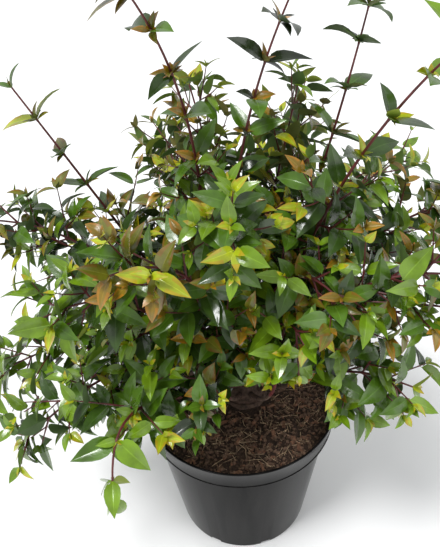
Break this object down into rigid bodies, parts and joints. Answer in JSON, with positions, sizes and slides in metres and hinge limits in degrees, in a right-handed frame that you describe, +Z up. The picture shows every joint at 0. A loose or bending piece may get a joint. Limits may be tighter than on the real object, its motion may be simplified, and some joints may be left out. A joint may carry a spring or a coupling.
{
  "type": "potted prostrate glossy abelia",
  "caption": "Low, wide evergreen shrub of arching purple-red shoots with small glossy pointed leaves, in a round black nursery pot filled with peat.",
  "frame": {"origin": "centre of the flat underside of the pot", "axes": "+Z up, +X to the right and -Y to the front as the picture shows the plant"},
  "size_m": [0.5519, 0.4921, 0.6613],
  "materials": {
    "black_plastic": "glossy injection-moulded polypropylene",
    "peat_soil": "rough moist peat with bark bits and fibres",
    "bark": "smooth purple-brown bark",
    "leaf_dark": "glossy mature leaf",
    "leaf_mid": "glossy leaf",
    "leaf_light": "satin young leaf",
    "leaf_bronze": "satin bronze-tinted young leaf"
  },
  "bodies": {
    "root": {"pot": "black_plastic", "soil": "peat_soil", "trunk": "bark", "bough_right_low": "bark", "bough_right_back_low": "bark", "bough_back_right_low": "bark", "bough_back_left_low": "bark", "bough_left_back_low": "bark", "bough_left_low": "bark", "bough_left_front_low": "bark", "bough_weeping": "bark", "bough_front_low": "bark", "bough_front_right_low": "bark", "bough_right_thick": "bark", "bough_right": "bark", "bough_right_back": "bark", "bough_back_right": "bark", "bough_back_left": "bark", "bough_left_arch": "bark", "bough_left": "bark", "bough_left_front": "bark", "bough_bronze_left": "bark", "bough_right_near": "bark", "bough_right_tall": "bark", "bough_right_sky": "bark", "bough_top_right": "bark", "bough_top_left": "bark", "bough_left_tall": "bark", "bough_front": "bark", "bough_front_right": "bark", "bough_centre_sky": "bark", "foliage_right_low": "leaf_mid", "foliage_right_back_low": "leaf_mid", "foliage_back_right_low": "leaf_dark", "foliage_back_left_low": "leaf_dark", "foliage_left_back_low": "leaf_mid", "foliage_left_low": "leaf_mid", "foliage_left_front_low": "leaf_light", "foliage_weeping": "leaf_light", "foliage_front_low": "leaf_mid", "foliage_front_right_low": "leaf_light", "foliage_right_thick": "leaf_mid", "foliage_right": "leaf_mid", "foliage_right_back": "leaf_mid", "foliage_back_right": "leaf_dark", "foliage_back_left": "leaf_dark", "foliage_left_arch": "leaf_dark", "foliage_left": "leaf_dark", "foliage_left_front": "leaf_light", "foliage_bronze_left": "leaf_bronze", "foliage_right_near": "leaf_light", "foliage_right_tall": "leaf_mid", "foliage_right_sky": "leaf_dark", "foliage_top_right": "leaf_bronze", "foliage_top_left": "leaf_mid", "foliage_left_tall": "leaf_mid", "foliage_front": "leaf_light", "foliage_front_right": "leaf_bronze", "foliage_centre_sky": "leaf_dark"}
  },
  "joints": []
}
